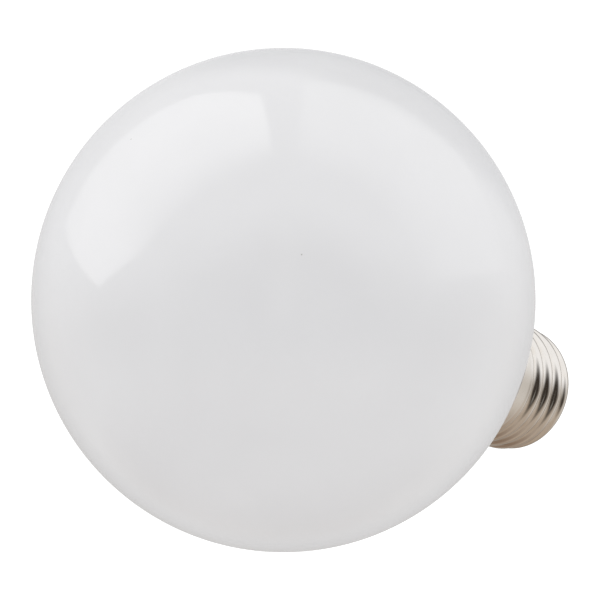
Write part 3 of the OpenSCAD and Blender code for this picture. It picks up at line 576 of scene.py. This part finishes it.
def thread_form(p):
    """Height of the rolled thread above its root, at p from the middle of a crest."""
    p = abs(p)
    if p < THREAD_PITCH / 4:
        return THREAD_DEPTH - FORM_R + math.sqrt(FORM_R ** 2 - p ** 2)
    return FORM_R - math.sqrt(FORM_R ** 2 - (THREAD_PITCH / 2 - p) ** 2)


def dent(z, turn):
    """Punch marks that stake the cap to the housing."""
    off = (turn * DENT_COUNT) % 1.0 - 0.5
    away = math.hypot(z - DENT_Z, off / DENT_COUNT * 2 * math.pi * SKIRT_R) / DENT_R
    return DENT_DEPTH * (1 - smooth_step(away))


def shell_radius(z, turn):
    """Outside of the screw shell; turn is the angle from +X in turns."""
    p = (z - CREST_Z) / THREAD_PITCH - turn - 0.25
    p = (p - round(p)) * THREAD_PITCH
    t = min((z - shell_low.z) / LIP_CURVE, 1.0)
    plain = LIP_R + (ROOT_R - LIP_R) * math.sqrt(max(0.0, 1 - (1 - t) ** 2))
    threaded = plain + thread_form(p) * smooth_step((z - LEAD_START) / LEAD_LEN)
    run_out = smooth_step(2 * (z - THREAD_STOP) / THREAD_PITCH + 0.5)
    return threaded * (1 - run_out) + SKIRT_R * run_out - dent(z, turn)


def shell_rows():
    """Heights of the rings: close round the rolled lip, even along the thread, close again at the dents."""
    rows = [shell_low.z + LIP_TOP * (k / LIP_ROWS) ** 1.8 for k in range(LIP_ROWS + 1)]
    while rows[-1] < THREAD_STOP + THREAD_PITCH / 3:
        rows.append(rows[-1] + ROW_STEP)
    rows += [DENT_Z + DENT_R * (k / DENT_ROWS) for k in range(-DENT_ROWS - 1, DENT_ROWS + 2)]
    return rows + [RIM_Z - down for down in RIM_ROWS]


def shell_mesh():
    """Sheet-metal shell: the outside from the lip up to the rim, then the inside a wall's thickness in."""
    columns, rows = SHELL_COLUMNS, shell_rows()
    turns = [j / columns for j in range(columns)]
    skin = [[shell_radius(z, u) for u in turns] for z in rows]
    skin[-1] = [r - RIM_TURN for r in skin[-1]]
    points = []
    for z, ring in zip(rows, skin):
        points += [around(r, u, z) for r, u in zip(ring, turns)]
    last = len(rows) - 1
    for i in range(last, -1, -1):
        above, below = min(i + 1, last), max(i - 1, 0)
        for j, u in enumerate(turns):
            slope = (skin[above][j] - skin[below][j]) / (rows[above] - rows[below])
            tilt = 1 / math.hypot(1, slope)
            z = rows[i] + (SHELL_WALL * tilt * slope if 0 < i < last else 0)
            points.append(around(skin[i][j] - SHELL_WALL * tilt, u, max(z, rows[0])))
    rings = 2 * len(rows)
    faces = [(i * columns + j, i * columns + (j + 1) % columns,
              (i + 1) % rings * columns + (j + 1) % columns, (i + 1) % rings * columns + j)
             for i in range(rings) for j in range(columns)]
    return finish_mesh("shell", points, faces, SHELL_CRISP)


# ---- insulator and contact ----

CONTACT_R = (contact_high.x - contact_low.x) / 2


def turned(name, profile, segments, closed=True):
    """Lathed piece from a profile of (radius, height, ease radius) in millimetres."""
    return lathe(name, eased([(r * MM, z * MM, e * MM) for r, z, e in profile]), segments, closed)


def insulator_mesh():
    """Moulded cone with two steps and a groove, hollow behind, with a hole for the contact's stem."""
    head = CONTACT_R / MM
    lip = LIP_R / MM - 0.4
    shoulder = (ROOT_R - SHELL_WALL) / MM - 0.5
    profile = [(1.6, 1.5, 0), (head + 0.7, 1.5, 0.15), (head + 1, 1.8, 0.15), (head + 1.3, 2.6, 0.2),
               (7.6, 3.05, 0.2), (7.8, 2.95, 0.15), (8.2, 3.3, 0.15), (8.45, 3.55, 0.15), (9.2, 4, 0.3),
               (lip, 4.6, 0.25), (lip, 5.75, 0.1),
               (shoulder, 5.95, 0.1), (shoulder, 7.2, 0.1), (shoulder - 1.2, 7.2, 0.1),
               (shoulder - 1.4, 5.9, 0.1), (7, 4.1, 0.1), (3.2, 4.1, 0.1), (3, 6, 0.1), (1.6, 6, 0.1)]
    return turned("insulator", profile, 160)


def contact_mesh():
    """Flat-faced head with a rounded edge, and a hollow stem that the live wire is soldered into."""
    head = CONTACT_R / MM
    profile = [(0, 0, 0), (head - 0.7, 0, 0.05), (head - 0.2, 0.2, 0.3), (head, 0.7, 0.3), (head, 1.45, 0.12),
               (1.5, 1.45, 0.05), (1.5, 6.4, 0.05), (0.7, 6.4, 0.05), (0.7, 2.4, 0.05), (0, 2.4, 0)]
    return turned("contact", profile, 128, closed=False)


# ---- stage: floor, soft boxes and studio light ----


def ray_kinds(t):
    path = t.add("LightPath")
    return path.outputs["Is Camera Ray"], path.outputs["Is Glossy Ray"]


def view_parts(t, coord):
    """How far a direction points right, up and back in the photograph's frame."""
    return [t.add("VectorMath", {0: coord, 1: tuple(VIEW.col[k])}, operation="DOT_PRODUCT").outputs["Value"]
            for k in range(3)]


# Colours of the room that polished surfaces see
ROOM_WALLS = (1.16, 1.165, 1.175)
ROOM_BACKDROP = (0.80, 0.80, 0.81)
ROOM_SHADED_CORNER = (0.60, 0.605, 0.615)
ROOM_FRONT_GROUND = (0.55, 0.465, 0.38)
ROOM_SIDE_GROUND = (0.83, 0.79, 0.74)
ROOM_DEEP_GROUND = (0.53, 0.44, 0.355)
ROOM_BACK_GROUND = (0.57, 0.555, 0.54)
ROOM_UNDER_GROUND = (0.27, 0.185, 0.13)
ROOM_GAP = (0.045, 0.036, 0.028)
ROOM_SLIT = (0.30, 0.285, 0.26)
# Lower edge of the walls: its height at the sides, its rise in front and how sharply, and how soft it is
SILL_LOW, SILL_RISE, SILL_POWER = 0.03, 0.95, 3.8
SILL_BLUR, SILL_BLUR_FRONT = 0.24, 0.38
# Where each part of the room starts and where it is full: a unit direction's share to the right, up, or back
# towards the photograph's camera
FRONT_BACK = (0.8, -0.3)
DEEP_UP = (-0.9, -0.45)
GAP_UP = (-0.60, -0.26)
GAP_BACK = (-0.25, 0.80)
GAP_LEAST = 0.1
SLIT_ASIDE = (0.15, 0.03)
SLIT_UP = (-0.32, -0.12)
LEFT_RIGHT = (-0.08, -0.65)
LEFT_UP = (-0.45, -0.75)
BEHIND_BACK = (0.0, -0.4)
BEHIND_UP = (-0.6, -0.9)
BEHIND_MOST = 0.5
FAR_GROUND_BACK = (-0.6, -0.92)
FAR_WALL_BACK = (-0.5, -0.9)
CORNER_TOWARDS = (0.25, 0.55, -0.80)
CORNER_EDGE = (0.86, 0.97)
# The even light that matt surfaces get
LIGHT_LEVEL = 0.86
LIGHT_FROM_ABOVE = 0.12


def both(t, a, b):
    """Where two masks both hold, or one value times another."""
    return t.math("MULTIPLY", a, b)


def room_ground(t, right, up, back):
    """Warm ground, darker on the left and behind, with a dark gap in front and a lit slit in its middle."""
    shallow = t.mix(t.ramp(back, *FRONT_BACK), ROOM_FRONT_GROUND, ROOM_SIDE_GROUND)
    ground = t.mix(t.ramp(up, *DEEP_UP), ROOM_DEEP_GROUND, shallow)
    gap = both(t, t.ramp(up, *GAP_UP), t.ramp(back, *GAP_BACK, GAP_LEAST, 1.0))
    slit = both(t, t.ramp(t.math("ABSOLUTE", right), *SLIT_ASIDE, smooth=True), t.ramp(up, *SLIT_UP))
    ground = t.mix(gap, ground, t.mix(slit, ROOM_GAP, ROOM_SLIT))
    left = both(t, t.ramp(right, *LEFT_RIGHT), t.ramp(up, *LEFT_UP))
    behind = both(t, t.ramp(back, *BEHIND_BACK, 0.0, BEHIND_MOST), t.ramp(up, *BEHIND_UP))
    ground = t.mix(t.math("MAXIMUM", left, behind), ground, ROOM_UNDER_GROUND)
    return t.mix(t.ramp(back, *FAR_GROUND_BACK, smooth=True), ground, ROOM_BACK_GROUND)


def room_colour(t, right, up, back):
    """Pale walls above the ground; their lower edge rises and softens in front."""
    front = t.math("MAXIMUM", back, 0.0)
    sill = t.math("MULTIPLY_ADD", t.math("POWER", front, SILL_POWER), SILL_RISE, SILL_LOW)
    blur = t.math("MULTIPLY_ADD", both(t, front, front), SILL_BLUR_FRONT, SILL_BLUR)
    wall = t.ramp(t.math("DIVIDE", t.math("SUBTRACT", up, sill), blur), -1, 1, smooth=True)
    upper = t.mix(t.ramp(back, *FAR_WALL_BACK, smooth=True), ROOM_WALLS, ROOM_BACKDROP)
    r, u, b = (both(t, part, k) for part, k in zip((right, up, back), CORNER_TOWARDS))
    corner = t.ramp(t.math("ADD", t.math("ADD", r, u), b), *CORNER_EDGE, smooth=True)
    return t.mix(wall, room_ground(t, right, up, back), t.mix(corner, upper, ROOM_SHADED_CORNER))


# Floor and backdrop: lit white round the lamp, pale grey further off, and a small shade under the contact
LIT_WHITE = (1.2, 1.2, 1.2)
PALE_GREY = (0.64, 0.645, 0.655)
POOL_EDGE = 0.19
SKY_FADE = (0.0, 0.5)
FLOOR_REACH = 6.0
CONTACT_SHADE = (0.30, 0.30, 0.31)
CONTACT_SHADE_R = 4.6 * MM


def make_world():
    """Even light for matt surfaces, the painted room for polished ones, a plain backdrop for the camera."""
    world = bpy.data.worlds.new("studio")
    bpy.context.scene.world = world
    world.use_nodes = True
    t = Tree(world.node_tree, "ShaderNodeOutputWorld")
    camera_ray, glossy_ray = ray_kinds(t)
    right, up, back = view_parts(t, t.add("TexCoord").outputs["Generated"])
    soft = t.ramp(up, -1, 1, LIGHT_LEVEL, LIGHT_LEVEL + LIGHT_FROM_ABOVE)
    even = t.add("CombineColor", {0: soft, 1: soft, 2: soft}).outputs[0]
    light = t.mix(glossy_ray, even, room_colour(t, right, up, back))
    height = t.add("SeparateXYZ", {0: t.add("TexCoord").outputs["Generated"]}).outputs[2]
    backdrop = t.mix(t.ramp(height, *SKY_FADE, smooth=True), PALE_GREY, LIT_WHITE)
    shown = t.mix(camera_ray, light, backdrop)
    background = t.add("Background", {"Color": shown, "Strength": 1.0})
    t.tree.links.new(background.outputs[0], t.output.inputs[0])


def only_for(piece, camera=False, glossy=False):
    """Keeps a stage piece out of every kind of ray but one."""
    piece.visible_camera = camera
    piece.visible_glossy = glossy
    piece.visible_diffuse = False
    piece.visible_transmission = False
    piece.visible_volume_scatter = False
    piece.visible_shadow = False


def glow_material(name, build, clear=False):
    """Self-lit surface that casts no light as a lamp; a clear one adds its glow to what lies behind it."""
    material = bpy.data.materials.new(name)
    material.use_nodes = True
    t = Tree(material.node_tree, "ShaderNodeOutputMaterial")
    emission = t.add("Emission")
    build(t, emission)
    shader = emission.outputs[0]
    if clear:
        shader = t.add("AddShader", {0: shader, 1: t.add("BsdfTransparent").outputs[0]}).outputs[0]
    t.tree.links.new(shader, t.output.inputs[0])
    material.cycles.emission_sampling = "NONE"
    return material


def make_floor():
    side = FLOOR_REACH
    corners = [(-side, -side, 0), (side, -side, 0), (side, side, 0), (-side, side, 0)]
    mesh = bpy.data.meshes.new("floor")
    mesh.from_pydata(corners, [], [(0, 1, 2, 3)])
    floor = bpy.data.objects.new("floor", mesh)
    bpy.context.scene.collection.objects.link(floor)

    def build(t, emission):
        place = t.add("TexCoord").outputs["Object"]
        reach = t.add("VectorMath", {0: place}, operation="LENGTH").outputs["Value"]
        tone = t.mix(t.noise(0.002), shaded(PALE_GREY, 0.985), shaded(PALE_GREY, 1.01))
        lit = t.ramp(t.math("DIVIDE", POOL_EDGE, reach), 0.0, 1.0)
        shade = t.ramp(reach, CONTACT_SHADE_R, 2 * CONTACT_SHADE_R, smooth=True)
        t.put(emission.inputs["Color"], t.mix(shade, CONTACT_SHADE, t.mix(lit, tone, LIT_WHITE)))

    mesh.materials.append(glow_material("floor_white", build))
    only_for(floor, camera=True)


CARD_REACH = 0.6
CARD_COLOUR = (1.0, 0.995, 0.985)
CARD_NEAR = (0.25 * CARD_REACH, 0.7 * CARD_REACH)
CARD_FAR = -0.75 * CARD_REACH
CARD_FAR_LEVEL = 0.3
# Outlines of the two soft boxes: along the sloping top, and towards the camera, per unit of distance
LEFT_BOX = [(-0.87, 0.03), (-0.48, -0.78), (0.40, -0.54), (0.80, -0.30), (0.88, 0.63), (0.2, 0.6),
            (-0.5, 0.46)]
RIGHT_BOX = [(-0.77, -0.63), (0.83, -0.60), (0.83, 0.55), (-0.77, 0.55)]


def make_card(name, facing, along, outline, power, receivers):
    """Soft box seen only as a reflection in the globe: a flat panel that dims towards the camera's side."""
    facing, along = Vector(facing).normalized(), Vector(along).normalized()
    forward = Vector((0, 0, 1))
    points = [from_view((facing + along * s + forward * z) * CARD_REACH) for s, z in outline]
    mesh = bpy.data.meshes.new(name)
    mesh.from_pydata(points, [], [tuple(range(len(points)))])
    card = bpy.data.objects.new(name, mesh)
    bpy.context.scene.collection.objects.link(card)

    def build(t, emission):
        place = t.add("TexCoord").outputs["Object"]
        offset = t.add("VectorMath", {0: place, 1: tuple(GLOBE_C)}, operation="SUBTRACT").outputs[0]
        back = {0: offset, 1: tuple(VIEW.col[2])}
        depth = t.add("VectorMath", back, operation="DOT_PRODUCT").outputs["Value"]
        near = t.ramp(depth, *CARD_NEAR, power, 0.0, True)
        far = t.ramp(depth, CARD_FAR, 0.0, CARD_FAR_LEVEL, 1.0, True)
        t.put(emission.inputs["Strength"], both(t, near, far))
        t.put(emission.inputs["Color"], CARD_COLOUR)

    mesh.materials.append(glow_material(name + "_glow", build, clear=True))
    only_for(card, glossy=True)
    card.light_linking.receiver_collection = receivers


LAMP_REACH = 0.9
LAMP_SIZE = 0.8


def make_area(name, direction, power):
    """Soft round lamp aimed at the globe, seen by neither the camera nor reflections."""
    data = bpy.data.lights.new(name, "AREA")
    data.shape = "DISK"
    data.size = LAMP_SIZE
    data.energy = power
    light = bpy.data.objects.new(name, data)
    at = GLOBE_C + (VIEW @ Vector(direction)).normalized() * LAMP_REACH
    light.matrix_world = Matrix.Translation(at) @ (at - GLOBE_C).to_track_quat("Z", "Y").to_matrix().to_4x4()
    light.visible_glossy = False
    light.visible_camera = False
    bpy.context.scene.collection.objects.link(light)


# Name, direction from the globe as right, up and backwards, direction along the top, outline, power
SOFT_BOXES = [("soft_box_left", (-1, 1, 0), (1, 1, 0), LEFT_BOX, 1.35),
              ("soft_box_right", (1, 1, 0), (-1, 1, 0), RIGHT_BOX, 0.62)]
# Name, direction from the globe, power in watts
LAMPS = [("key", (-0.6, 0.75, 0.25), 0.3), ("fill", (0.9, 0.4, 0.1), 0.15)]


def make_stage(globe):
    make_world()
    make_floor()
    receivers = bpy.data.collections.new("soft_box_receivers")
    receivers.objects.link(globe)
    for box in SOFT_BOXES:
        make_card(*box, receivers)
    for lamp in LAMPS:
        make_area(*lamp)


# ---- build ----


def build():
    materials = make_materials()
    for node in NODES.values():
        for slot in node.material_slots:
            slot.material = materials[slot.material.name]
    globe = add_piece("globe", globe_mesh(), "globe_diffuser", "opal_diffuser", materials)
    add_piece("housing_shell", housing_mesh(), "housing", "white_housing", materials)
    add_piece("threaded_shell", shell_mesh(), "screw_shell", "nickel_plate", materials)
    add_piece("insulator", insulator_mesh(), "cap_insulator", "black_insulator", materials)
    add_piece("contact", contact_mesh(), "centre_contact", "nickel_plate", materials)
    make_stage(globe)
    bpy.context.scene.view_settings.view_transform = "Standard"


build()
